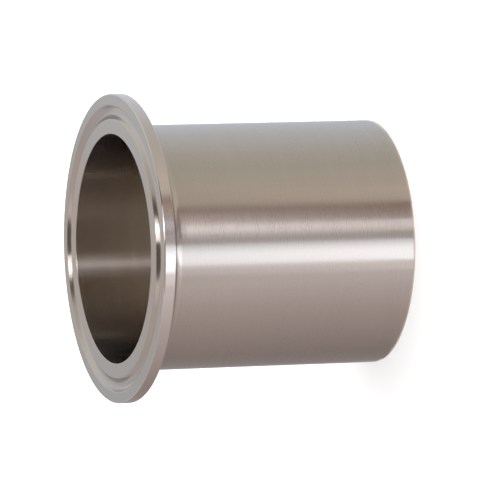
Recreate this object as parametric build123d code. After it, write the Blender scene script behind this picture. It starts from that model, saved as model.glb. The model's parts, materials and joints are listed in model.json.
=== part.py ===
from build123d import *
import math
import os

# A sanitary clamp ferrule of the 2 inch tube size: one piece of stainless steel, turned all over.
# A tube with a square weld end carries a flange with a gasket groove in its face and a clamping
# taper on its back. Its axis is +Z. It stands on the weld end, with the flange at the top, and the
# origin is the centre of the weld end. Millimetres.

# Tube: the size of the tubing that the weld end is butt welded to.
TUBE_OUTSIDE_DIAMETER = 50.8
TUBE_WALL = 1.65
OVERALL_LENGTH = 57.15

# Flange: the face is a narrow land, the groove and a second land, counted outwards from the bore.
INNER_LAND = 3.0
GROOVE_WIDTH = 3.0
OUTER_LAND = 2.25
RIM_THICKNESS = 2.45
CLAMP_TAPER_DEGREES = 20.0
NECK_RADIUS = 1.5

# Gasket groove: a ring with sloping walls and a round floor that the bead of the gasket seats in.
GROOVE_DEPTH = 1.2
GROOVE_WALL_DEGREES = 55.0

# Small chamfers that break the sharp edges.
RIM_BREAK = 0.3
BORE_MOUTH_BREAK = 0.2
GROOVE_MOUTH_BREAK = 0.15

tube_radius = TUBE_OUTSIDE_DIAMETER / 2
bore_radius = tube_radius - TUBE_WALL
groove_inner_radius = bore_radius + INNER_LAND
groove_outer_radius = groove_inner_radius + GROOVE_WIDTH
flange_radius = groove_outer_radius + OUTER_LAND

# The back of the flange slopes away from the rim until it meets the tube.
rim_back_z = OVERALL_LENGTH - RIM_THICKNESS
taper_drop = (flange_radius - tube_radius) * math.tan(math.radians(CLAMP_TAPER_DEGREES))

# The groove's two walls would meet in a point below its floor. The floor is the arc that touches
# both of them at the depth of the groove.
groove_wall_slope = math.radians(GROOVE_WALL_DEGREES)
groove_point_depth = GROOVE_WIDTH / 2 * math.tan(groove_wall_slope)
groove_floor_radius = (groove_point_depth - GROOVE_DEPTH) / (1 / math.cos(groove_wall_slope) - 1)

neck = (tube_radius, rim_back_z - taper_drop)
rim_back = (flange_radius, rim_back_z)
rim_front = (flange_radius, OVERALL_LENGTH)
groove_outer_edge = (groove_outer_radius, OVERALL_LENGTH)
groove_point = (groove_inner_radius + GROOVE_WIDTH / 2, OVERALL_LENGTH - groove_point_depth)
groove_inner_edge = (groove_inner_radius, OVERALL_LENGTH)
bore_mouth = (bore_radius, OVERALL_LENGTH)

OUTLINE = [
    (bore_radius, 0),
    (tube_radius, 0),
    neck,
    rim_back,
    rim_front,
    groove_outer_edge,
    groove_point,
    groove_inner_edge,
    bore_mouth,
]


def corners_at(section, *points):
    """The corners of the section that lie at these points."""
    return [section.vertices().sort_by_distance(point)[0] for point in points]


def wall_section():
    """Half of the ferrule's cross section, in the XZ plane: X is the radius."""
    with BuildSketch(Plane.XZ) as section:
        with BuildLine():
            Polyline(*OUTLINE, close=True)
        make_face()
        fillet(corners_at(section, neck), NECK_RADIUS)
        fillet(corners_at(section, groove_point), groove_floor_radius)
        chamfer(corners_at(section, rim_back, rim_front), RIM_BREAK)
        chamfer(corners_at(section, groove_outer_edge, groove_inner_edge), GROOVE_MOUTH_BREAK)
        chamfer(corners_at(section, bore_mouth), BORE_MOUTH_BREAK)
    return section.sketch


def make_ferrule():
    """The wall's section turned once round the axis."""
    ferrule = revolve(wall_section(), Axis.Z)
    ferrule.label = "ferrule"
    return ferrule


os.makedirs("parts", exist_ok=True)
export_step(make_ferrule(), "parts/ferrule.step")
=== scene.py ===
import json
import math

import bmesh
import bpy
from mathutils import Matrix, Vector


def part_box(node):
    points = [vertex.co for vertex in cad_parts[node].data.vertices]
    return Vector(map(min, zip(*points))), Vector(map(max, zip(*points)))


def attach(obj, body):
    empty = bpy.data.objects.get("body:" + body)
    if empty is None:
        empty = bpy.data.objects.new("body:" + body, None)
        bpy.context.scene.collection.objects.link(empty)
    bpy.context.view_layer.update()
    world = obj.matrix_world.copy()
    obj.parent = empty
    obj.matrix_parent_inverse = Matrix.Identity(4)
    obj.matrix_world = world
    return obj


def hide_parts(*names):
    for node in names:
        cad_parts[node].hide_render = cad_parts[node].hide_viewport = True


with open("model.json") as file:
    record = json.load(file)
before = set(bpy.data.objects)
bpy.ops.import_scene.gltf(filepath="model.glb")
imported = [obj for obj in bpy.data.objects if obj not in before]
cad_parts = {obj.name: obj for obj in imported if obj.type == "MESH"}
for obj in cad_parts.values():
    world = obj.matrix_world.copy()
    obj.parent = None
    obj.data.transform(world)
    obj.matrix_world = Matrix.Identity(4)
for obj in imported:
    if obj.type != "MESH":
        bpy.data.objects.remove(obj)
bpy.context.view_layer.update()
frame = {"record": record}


# ---------------------------------------------------------------------------------------------
# The ferrule
# One piece of austenitic stainless steel: tube, neck, clamp flange and gasket groove in one wall.
# It is turned all over on a lathe, so every surface is a ring round the axis and the finish runs
# round it in fine tool marks. The flange and the bore are smoother than the outside of the tube.
# ---------------------------------------------------------------------------------------------

MM = 0.001
MOUNTS = {mount["name"]: mount for mount in frame["record"]["mounts"]}
FERRULE_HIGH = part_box("ferrule")[1]

BORE_RADIUS = MOUNTS["bore"]["dims"]["r_mm"] * MM
TUBE_RADIUS = MOUNTS["tube_outside"]["dims"]["r_mm"] * MM
FLANGE_RADIUS = FERRULE_HIGH.x
FACE_HEIGHT = FERRULE_HIGH.z
RIM_THICKNESS = 2.45 * MM
CLAMP_TAPER = math.radians(20)
INNER_LAND = 3.0 * MM
GROOVE_WIDTH = 3.0 * MM
GROOVE_DEPTH = 1.2 * MM
GROOVE_WALL_SLOPE = math.radians(55)
GROOVE_MOUTH_ROUND = 0.3 * MM
NECK_ROUND = 1.5 * MM
RIM_ROUND = 0.3 * MM
BORE_MOUTH_ROUND = 0.1 * MM
WELD_END_ROUND = 0.05 * MM

# A round is drawn in steps of this angle. The short flat at each of its ends keeps its shading
# from running on over the plain surface beside it.
ARC_STEP = math.radians(8)
FLAT_GUARD = 0.03 * MM
STEPS_ROUND_THE_AXIS = 512


def rounded_outline(corners):
    """The closed outline through these corners, each turned to its own radius."""
    outline = []
    for index, (corner, radius) in enumerate(corners):
        before = corners[index - 1][0]
        after = corners[(index + 1) % len(corners)][0]
        to_before = (before - corner).normalized()
        to_after = (after - corner).normalized()
        half_angle = to_before.angle(to_after) / 2
        setback = radius / math.tan(half_angle)
        centre = corner + (to_before + to_after).normalized() * radius / math.sin(half_angle)
        spoke = corner + to_before * setback - centre
        sweep = spoke.angle_signed(corner + to_after * setback - centre)
        outline.append(centre + spoke + to_before * FLAT_GUARD)
        steps = math.ceil(abs(sweep) / ARC_STEP)
        for step in range(steps + 1):
            outline.append(centre + Matrix.Rotation(-sweep * step / steps, 2) @ spoke)
        outline.append(outline[-1] + to_after * FLAT_GUARD)
    return outline


def ferrule_outline():
    """Half of the wall's section, from the weld end up the outside, over the face and down the bore."""
    rim_back = FACE_HEIGHT - RIM_THICKNESS
    taper_foot = rim_back - (FLANGE_RADIUS - TUBE_RADIUS) * math.tan(CLAMP_TAPER)
    groove_inside = BORE_RADIUS + INNER_LAND
    groove_outside = groove_inside + GROOVE_WIDTH
    wall_meeting = GROOVE_WIDTH / 2 * math.tan(GROOVE_WALL_SLOPE)
    groove_floor_round = (wall_meeting - GROOVE_DEPTH) / (1 / math.cos(GROOVE_WALL_SLOPE) - 1)
    return rounded_outline([
        (Vector((BORE_RADIUS, 0)), WELD_END_ROUND),
        (Vector((TUBE_RADIUS, 0)), WELD_END_ROUND),
        (Vector((TUBE_RADIUS, taper_foot)), NECK_ROUND),
        (Vector((FLANGE_RADIUS, rim_back)), RIM_ROUND),
        (Vector((FLANGE_RADIUS, FACE_HEIGHT)), RIM_ROUND),
        (Vector((groove_outside, FACE_HEIGHT)), GROOVE_MOUTH_ROUND),
        (Vector((groove_inside + GROOVE_WIDTH / 2, FACE_HEIGHT - wall_meeting)), groove_floor_round),
        (Vector((groove_inside, FACE_HEIGHT)), GROOVE_MOUTH_ROUND),
        (Vector((BORE_RADIUS, FACE_HEIGHT)), BORE_MOUTH_ROUND),
    ])


def place_in_scene(name, data):
    """An object made of this mesh, lamp or camera, linked to the scene."""
    made = bpy.data.objects.new(name, data)
    bpy.context.scene.collection.objects.link(made)
    return made


def section_wire(name, points):
    """The section as a closed wire, with X as the radius and Y as the height."""
    mesh = bpy.data.meshes.new(name)
    count = len(points)
    mesh.from_pydata([(p.x, p.y, 0) for p in points], [(i, (i + 1) % count) for i in range(count)], [])
    return place_in_scene(name, mesh)


def by_place_and_name(sockets):
    """A node's sockets by their places, and those in use by their names too."""
    return dict(enumerate(sockets)) | {socket.name: socket for socket in sockets if socket.enabled}


def add_node(tree, kind, settings, values):
    """Adds a node of any kind: its settings first, then the values or links of its sockets."""
    made = tree.nodes.new(kind)
    for name, value in settings.items():
        setattr(made, name, value)
    inputs = by_place_and_name(made.inputs)
    for name, value in values.items():
        if isinstance(value, bpy.types.NodeSocket):
            tree.links.new(value, inputs[name])
        else:
            inputs[name].default_value = value
    return by_place_and_name(made.outputs)


def lathe_tree():
    """A node tree that turns a wire section round the Z axis into a closed wall."""
    tree = bpy.data.node_groups.new("lathe", "GeometryNodeTree")
    kinds = {"Section": "Geometry", "Steps round": "Int", "Turning radius": "Float", "Finish": "Material"}
    for name, kind in kinds.items():
        tree.interface.new_socket(name, in_out="INPUT", socket_type="NodeSocket" + kind)
    tree.interface.new_socket("Wall", in_out="OUTPUT", socket_type="NodeSocketGeometry")

    def add(kind, settings, values):
        return add_node(tree, kind, settings, values)

    # The section travels along a circle, with its X outwards from the circle and its Y downwards.
    given = add("NodeGroupInput", {}, {})
    place = add("GeometryNodeInputPosition", {}, {})[0]
    parts = add("ShaderNodeSeparateXYZ", {}, {"Vector": place})
    reach = add("ShaderNodeMath", {"operation": "SUBTRACT"}, {0: parts["X"], 1: given["Turning radius"]})[0]
    drop = add("ShaderNodeMath", {"operation": "MULTIPLY"}, {0: parts["Y"], 1: -1})[0]
    local = add("ShaderNodeCombineXYZ", {}, {"X": reach, "Y": drop})[0]
    moved = add("GeometryNodeSetPosition", {}, {"Geometry": given["Section"], "Position": local})[0]
    section = add("GeometryNodeMeshToCurve", {}, {"Mesh": moved})[0]
    circle = add(
        "GeometryNodeCurvePrimitiveCircle",
        {},
        {"Resolution": given["Steps round"], "Radius": given["Turning radius"]},
    )[0]
    swept = add("GeometryNodeCurveToMesh", {}, {"Curve": circle, "Profile Curve": section})[0]
    smooth = add("GeometryNodeSetShadeSmooth", {}, {"Geometry": swept})[0]
    real = add("GeometryNodeRealizeInstances", {}, {"Geometry": smooth})[0]
    wall = add("GeometryNodeSetMaterial", {}, {"Geometry": real, "Material": given["Finish"]})[0]
    add("NodeGroupOutput", {}, {"Wall": wall})
    return tree


def turn(name, points, steps, finish):
    """Turns a section on the lathe tree and keeps the result as a plain mesh."""
    blank = section_wire(name + "_section", points)
    lathe = blank.modifiers.new("lathe", "NODES")
    lathe.node_group = lathe_tree()
    settings = {"Steps round": steps, "Turning radius": TUBE_RADIUS, "Finish": finish}
    for item in lathe.node_group.interface.items_tree:
        if item.name in settings:
            lathe[item.identifier] = settings[item.name]
    evaluated = blank.evaluated_get(bpy.context.evaluated_depsgraph_get())
    mesh = bpy.data.meshes.new_from_object(evaluated)
    mesh.name = name
    bpy.data.objects.remove(blank)
    work = bmesh.new()
    work.from_mesh(mesh)
    bmesh.ops.recalc_face_normals(work, faces=work.faces)
    work.to_mesh(mesh)
    work.free()
    return place_in_scene(name, mesh)


class Number:
    """A number on its way through a shader. Arithmetic on it adds the Math nodes."""

    def __init__(self, shader, socket):
        self.shader = shader
        self.socket = socket

    def math(self, operation, *others):
        return self.shader.math(operation, self, *others)

    def clamped(self):
        """The number, kept between nothing and one."""
        return self.math("MAXIMUM", 0.0).math("MINIMUM", 1.0)

    def __add__(self, other):
        return self.math("ADD", other)

    def __sub__(self, other):
        return self.math("SUBTRACT", other)

    def __rsub__(self, other):
        return self.shader.math("SUBTRACT", other, self)

    def __mul__(self, other):
        return self.math("MULTIPLY", other)

    def __truediv__(self, other):
        return self.math("DIVIDE", other)

    def __rtruediv__(self, other):
        return self.shader.math("DIVIDE", other, self)

    __radd__ = __add__
    __rmul__ = __mul__


class Shader:
    """The node tree of a material or of a room, written as expressions."""

    def __init__(self, owner):
        self.owner = owner
        self.owner.use_nodes = True
        self.tree = self.owner.node_tree
        self.tree.nodes.clear()

    def node(self, kind, settings, values):
        """Adds a node of any kind and returns its outputs as numbers, by place and by name."""
        plain = {
            name: value.socket if isinstance(value, Number) else value
            for name, value in values.items()
        }
        outputs = add_node(self.tree, kind, settings, plain)
        return {name: Number(self, socket) for name, socket in outputs.items()}

    def math(self, operation, *values):
        """A Math node on these values, in their order."""
        return self.node("ShaderNodeMath", {"operation": operation}, dict(enumerate(values)))[0]

    def blend(self, share, first, second):
        """A colour between two others."""
        values = {"Factor": share, "A": first, "B": second}
        return self.node("ShaderNodeMix", {"data_type": "RGBA"}, values)["Result"]

    def finish(self, output, surface):
        """Ends the tree in its output node and returns what the tree belongs to."""
        self.node(output, {}, {"Surface": surface})
        return self.owner


# Two sets of marks: the tool's own fine feed, and the broad waves that it leaves. The pitch is
# counted up the tube and across the flange. The higher the changes round, the shorter the marks.
FINE_PITCH = 0.16 * MM
FINE_CHANGES_ROUND = 2.5
FINE_DETAIL = 2.0
BROAD_PITCH = 2.2 * MM
BROAD_CHANGES_ROUND = 0.9
BROAD_DETAIL = 3.0
DETAIL_ROUGHNESS = 0.6
BROAD_SHARE_OF_TONE = 0.8
MARK_DEPTH = 0.004 * MM
MARK_STRENGTH = 0.05

LIGHT_TONE = (0.44, 0.378, 0.322, 1)
DARK_TONE = (0.40, 0.342, 0.288, 1)
# The band round the flange's edge has its colour painted lighter than the rest of the steel: a painted
# sheen that brightens the highlight along the rim.
RIM_PAINTED_SHEEN_TONE = (0.485, 0.42, 0.365, 1)

# How rough the flange and the bore are, and what the satin outside of the tube and the marks add.
SMOOTH_ROUGHNESS = 0.17
SATIN_ROUGHNESS = 0.085
FINE_ROUGHNESS = 0.01
BROAD_ROUGHNESS = 0.03

# The satin runs from the weld end up to here, and one finish gives way to another in this width.
SATIN_LENGTH = 51 * MM
FINISH_CHANGE = 0.05 * MM

# The marks spread each highlight across themselves, a quarter turn from the way they run.
SPREAD = 1.0
SPREAD_TURN = 0.25


def turned_steel():
    """Fine turned stainless steel: the marks of the tool run round the axis."""
    steel = Shader(bpy.data.materials.new("turned_steel"))
    place = steel.node("ShaderNodeTexCoord", {}, {})["Object"]
    parts = steel.node("ShaderNodeSeparateXYZ", {}, {"Vector": place})
    x, y, z = (parts[axis] for axis in "XYZ")
    radius = (x * x + y * y).math("SQRT")
    travel = z - radius

    def marks(changes_round, pitch, detail):
        along = {"X": x / radius * changes_round, "Y": y / radius * changes_round, "Z": travel / pitch}
        at = steel.node("ShaderNodeCombineXYZ", {}, along)[0]
        grain = {"Vector": at, "Scale": 1.0, "Detail": detail, "Roughness": DETAIL_ROUGHNESS}
        return steel.node("ShaderNodeTexNoise", {}, grain)[0]

    fine = marks(FINE_CHANGES_ROUND, FINE_PITCH, FINE_DETAIL)
    broad = marks(BROAD_CHANGES_ROUND, BROAD_PITCH, BROAD_DETAIL)
    wall_middle = (BORE_RADIUS + TUBE_RADIUS) / 2
    outside = ((radius - wall_middle) / FINISH_CHANGE).clamped()
    below_neck = ((SATIN_LENGTH - z) / FINISH_CHANGE).clamped()
    satin = outside * below_neck
    # The band round the flange's edge that gets the lighter colour of the painted sheen.
    rim_painted_sheen = ((radius - FLANGE_RADIUS + RIM_ROUND) / FINISH_CHANGE).clamped()

    tone = broad * BROAD_SHARE_OF_TONE + fine * (1 - BROAD_SHARE_OF_TONE)
    colour = steel.blend(rim_painted_sheen, steel.blend(tone, DARK_TONE, LIGHT_TONE), RIM_PAINTED_SHEEN_TONE)
    roughness = SMOOTH_ROUGHNESS + satin * SATIN_ROUGHNESS + fine * FINE_ROUGHNESS + broad * BROAD_ROUGHNESS
    relief = {"Strength": MARK_STRENGTH, "Distance": MARK_DEPTH, "Height": fine}
    look = {
        "Base Color": colour,
        "Metallic": 1.0,
        "Roughness": roughness,
        "Normal": steel.node("ShaderNodeBump", {}, relief)[0],
        "Anisotropic": SPREAD,
        "Anisotropic Rotation": SPREAD_TURN,
    }
    surface = steel.node("ShaderNodeBsdfPrincipled", {}, look)[0]
    return steel.finish("ShaderNodeOutputMaterial", surface)


ferrule = turn("ferrule_wall", ferrule_outline(), STEPS_ROUND_THE_AXIS, turned_steel())
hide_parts("ferrule")
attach(ferrule, "root")


# ---------------------------------------------------------------------------------------------
# The floor
# A plain sheet of white paper that takes the ferrule's soft shadow from the lamp overhead. It gives
# off a little light of its own, so that it shows pure white, and some more where the metal sees it.
# ---------------------------------------------------------------------------------------------

FLOOR_REACH = 6.0
FLOOR_WHITE = (0.8, 0.8, 0.8, 1)
FLOOR_ROUGHNESS = 0.9
FLOOR_LIFT = 0.35
FLOOR_MORE_IN_METAL = 0.4


def floor_paper():
    """White paper that gives off its light to the eye and to what reflects it, and to nothing else."""
    paper = Shader(bpy.data.materials.new("floor_paper"))
    ray = paper.node("ShaderNodeLightPath", {}, {})
    seen = (ray["Is Camera Ray"] + ray["Is Reflection Ray"]).math("MINIMUM", 1.0)
    look = {
        "Base Color": FLOOR_WHITE,
        "Roughness": FLOOR_ROUGHNESS,
        "Specular IOR Level": 0.0,
        "Emission Color": (1, 1, 1, 1),
        "Emission Strength": seen * FLOOR_LIFT + ray["Is Glossy Ray"] * FLOOR_MORE_IN_METAL,
    }
    surface = paper.node("ShaderNodeBsdfPrincipled", {}, look)[0]
    return paper.finish("ShaderNodeOutputMaterial", surface)


def flat_sheet(name, reach, height, finish):
    """A square sheet that reaches as far as this from the axis on each side."""
    mesh = bpy.data.meshes.new(name)
    ways = [(-1, -1), (1, -1), (1, 1), (-1, 1)]
    mesh.from_pydata([(x * reach, y * reach, height) for x, y in ways], [], [(0, 1, 2, 3)])
    mesh.materials.append(finish)
    return place_in_scene(name, mesh)


floor = flat_sheet("floor", FLOOR_REACH, 0.0, floor_paper())


# ---------------------------------------------------------------------------------------------
# The studio
# A white room, a soft lamp overhead, and paper cards that stand round the ferrule and that only its
# metal sees: a ring that lies on the floor and sweeps up, a narrow card behind, a short one by the
# tube's foot and a bright strip. They are what the metal's bright and dark bands are made of.
# ---------------------------------------------------------------------------------------------

CARD_FOOT = 25.7 * MM
CARD_SWEEP = 300 * MM
CARD_TOP = 1000 * MM
CARD_LIFT = 0.15 * MM
CARD_BEND_LOW = 45 * MM
CARD_BEND_HIGH = 80 * MM
SWEEP_STEPS = 24

SHADE = (0.17, 0.15, 0.15)
WARM_SHADE = (0.17, 0.14, 0.12)
DEEP_SHADE = (0.16, 0.13, 0.11)
BRIGHT = (2.30, 2.40, 2.70)

# Each edge of a card: how far round from the front, in degrees, and how bright the paper is there,
# first where it lies on the floor and then where it stands.
CARD_EDGES = [
    (-180, (0.66, 0.75, 0.88), (0.66, 0.75, 0.88)),
    (-172, (0.58, 0.65, 0.76), (0.62, 0.68, 0.78)),
    (-160, (0.42, 0.39, 0.40), (0.78, 0.80, 0.87)),
    (-128, (0.45, 0.40, 0.42), (0.78, 0.78, 0.82)),
    (-106, (0.56, 0.50, 0.53), (0.78, 0.76, 0.80)),
    (-91, (0.64, 0.58, 0.62), (0.84, 0.82, 0.85)),
    (-87, (0.66, 0.60, 0.64), (0.84, 0.82, 0.85)),
    (-60, (0.84, 0.78, 0.83), (0.84, 0.81, 0.84)),
    (-52, (0.89, 0.85, 0.92), (1.06, 1.03, 1.08)),
    (-42, (0.96, 0.93, 1.02), (1.14, 1.10, 1.15)),
    (-35, (1.09, 1.07, 1.18), (1.10, 1.06, 1.10)),
    (-32, (1.12, 1.10, 1.22), SHADE),
    (-29, (1.16, 1.14, 1.27), SHADE),
    (-27, (1.42, 1.43, 1.60), SHADE),
    (-20, (1.50, 1.52, 1.70), SHADE),
    (-17, (2.52, 2.82, 3.30), SHADE),
    (-8, (2.50, 2.80, 3.28), SHADE),
    (-4, (2.06, 2.32, 2.72), SHADE),
    (0, (1.50, 1.68, 1.96), SHADE),
    (2.5, (0.78, 0.78, 0.85), SHADE),
    (5, (0.68, 0.66, 0.72), SHADE),
    (7, (0.64, 0.62, 0.67), BRIGHT),
    (10, (0.34, 0.32, 0.38), BRIGHT),
    (20, (0.32, 0.32, 0.37), BRIGHT),
    (22.5, (0.48, 0.40, 0.39), BRIGHT),
    (29, (0.53, 0.44, 0.42), BRIGHT),
    (31, (0.53, 0.44, 0.42), WARM_SHADE),
    (35, (0.55, 0.46, 0.44), WARM_SHADE),
    (39, (0.90, 0.85, 0.82), WARM_SHADE),
    (43, (0.98, 0.93, 0.90), WARM_SHADE),
    (49.5, (0.98, 0.93, 0.89), DEEP_SHADE),
    (52.5, (0.97, 0.93, 0.88), (0.72, 0.71, 0.73)),
    (56, (0.90, 0.87, 0.84), (0.80, 0.80, 0.83)),
    (79, (0.80, 0.82, 0.79), (0.84, 0.86, 0.89)),
    (94, (0.82, 0.86, 0.86), (1.00, 1.04, 1.08)),
    (112, (0.90, 0.97, 1.07), (1.10, 1.18, 1.25)),
    (137, (0.92, 1.03, 1.17), (1.06, 1.16, 1.26)),
    (150, (0.85, 0.95, 1.10), (0.98, 1.08, 1.22)),
    (172, (0.74, 0.84, 0.98), (0.82, 0.91, 1.04)),
    (180, (0.66, 0.75, 0.88), (0.74, 0.83, 0.96)),
]


def card_paper():
    """Paper that is lit from behind and shines in its own colour."""
    paper = Shader(bpy.data.materials.new("card_paper"))
    glow = paper.node("ShaderNodeAttribute", {"attribute_name": "glow"}, {})["Color"]
    lit = paper.node("ShaderNodeEmission", {}, {"Color": glow, "Strength": 1.0})[0]
    return paper.finish("ShaderNodeOutputMaterial", lit)


def card_ring(name, edges, rise, finish):
    """Cards side by side, laid so that an edge reaches the wall where its reflection leaves it."""
    points, colours, faces = [], [], []
    for azimuth, lying, standing in edges:
        turn_out = math.radians(azimuth)
        foot = Vector((math.sin(turn_out / 2), -math.cos(turn_out / 2))) * CARD_FOOT
        way = Vector((math.sin(turn_out), -math.cos(turn_out)))
        for out, up in rise:
            spot = foot + way * out
            share = min(max((up - CARD_BEND_LOW) / (CARD_BEND_HIGH - CARD_BEND_LOW), 0), 1)
            points.append((spot.x, spot.y, up + CARD_LIFT))
            colours.append((*(a + (b - a) * share for a, b in zip(lying, standing)), 1))
    row = len(rise)
    for edge in range(len(edges) - 1):
        for step in range(row - 1):
            first = edge * row + step
            faces.append((first, first + row, first + row + 1, first + 1))
    mesh = bpy.data.meshes.new(name)
    mesh.from_pydata(points, [], faces)
    attribute = mesh.attributes.new("glow", "FLOAT_COLOR", "POINT")
    for spot, colour in zip(attribute.data, colours):
        spot.color = colour
    mesh.materials.append(finish)
    made = place_in_scene(name, mesh)
    for kind in ("camera", "diffuse", "transmission", "volume_scatter", "shadow"):
        setattr(made, "visible_" + kind, False)


paper = card_paper()
card_angles = [math.pi / 2 * step / SWEEP_STEPS for step in range(SWEEP_STEPS + 1)]
card_sweep = [(CARD_SWEEP * math.sin(t), CARD_SWEEP * (1 - math.cos(t))) for t in card_angles]
card_top = (CARD_SWEEP, CARD_TOP)
card_ring("cards", CARD_EDGES, card_sweep + [card_top], paper)

# A narrow card closes the gap between the two ends of the ring, straight behind the ferrule. It
# starts a few steps up the sweep.
BACK_FIRST_STEP = 4
BACK_LYING = (1.15, 1.15, 1.15)
BACK_EDGES = [
    (180, BACK_LYING, (0.84, 0.83, 0.86)),
    (-180, BACK_LYING, (0.82, 0.79, 0.80)),
]
card_ring("back_card", BACK_EDGES, card_sweep[BACK_FIRST_STEP:] + [card_top], paper)

# A short card lies on the others near the tube's foot, where the strip gives less light.
FOOT_POINTS = 4
FOOT_SPAN = (9, 20.5)
FOOT_GLOW = (0.80, 0.78, 0.88)
foot_edges = [(azimuth, FOOT_GLOW, FOOT_GLOW) for azimuth in FOOT_SPAN]
foot_rise = [(out, up + CARD_LIFT) for out, up in card_sweep[:FOOT_POINTS]]
card_ring("foot_card", foot_edges, foot_rise, paper)

# A strip of brighter paper stands in front of the cards, higher than the face, and shines into the
# bore.
STRIP_REACH = 290 * MM
STRIP_FOOT = 150 * MM
STRIP_TOP = 300 * MM
STRIP_SPAN = (12.5, 20.5)
STRIP_GLOW = (30.0, 31.0, 35.0)
strip_edges = [(azimuth, STRIP_GLOW, STRIP_GLOW) for azimuth in STRIP_SPAN]
card_ring("strip", strip_edges, [(STRIP_REACH, STRIP_FOOT), (STRIP_REACH, STRIP_TOP)], paper)

LAMP_SIZE = 0.8
LAMP_POWER = 8.0
LAMP_PLACE = (0.25, 0.2, 1.4)
lamp_data = bpy.data.lights.new("overhead_lamp", "AREA")
lamp_data.shape = "DISK"
lamp_data.size = LAMP_SIZE
lamp_data.energy = LAMP_POWER
lamp = place_in_scene("overhead_lamp", lamp_data)
lamp.location = LAMP_PLACE
lamp.rotation_mode = "QUATERNION"
lamp.rotation_quaternion = lamp.location.to_track_quat("Z", "Y")
lamp.visible_camera = False
lamp.visible_glossy = False

room = Shader(bpy.data.worlds.new("white_room"))
glow = room.node("ShaderNodeBackground", {}, {"Color": (1, 1, 1, 1), "Strength": 1.0})[0]
bpy.context.scene.world = room.finish("ShaderNodeOutputWorld", glow)


# ---------------------------------------------------------------------------------------------
# The camera
# A long lens, well above the face of the flange, rolled so that the axis lies across the picture.
# ---------------------------------------------------------------------------------------------

CAMERA_AIM = Vector((-1.12, 0, 26.91)) * MM
CAMERA_DISTANCE = 1189.3 * MM
CAMERA_ELEVATION = math.radians(20.365)
CAMERA_ROLL = math.radians(-91.733)
CAMERA_LENS = 410.7
SENSOR_WIDTH = 36
CAMERA_NEAR = 0.05
CAMERA_FAR = 50

camera_data = bpy.data.cameras.new("camera")
camera_data.lens = CAMERA_LENS
camera_data.sensor_width = SENSOR_WIDTH
camera_data.clip_start = CAMERA_NEAR
camera_data.clip_end = CAMERA_FAR
camera = place_in_scene("camera", camera_data)
away = Vector((0, -math.cos(CAMERA_ELEVATION), math.sin(CAMERA_ELEVATION)))
upright = away.to_track_quat("Z", "Y").to_matrix()
camera.matrix_world = (
    Matrix.Translation(CAMERA_AIM + away * CAMERA_DISTANCE)
    @ (upright @ Matrix.Rotation(CAMERA_ROLL, 3, "Z")).to_4x4()
)
bpy.context.scene.camera = camera
bpy.context.scene.view_settings.view_transform = "Standard"
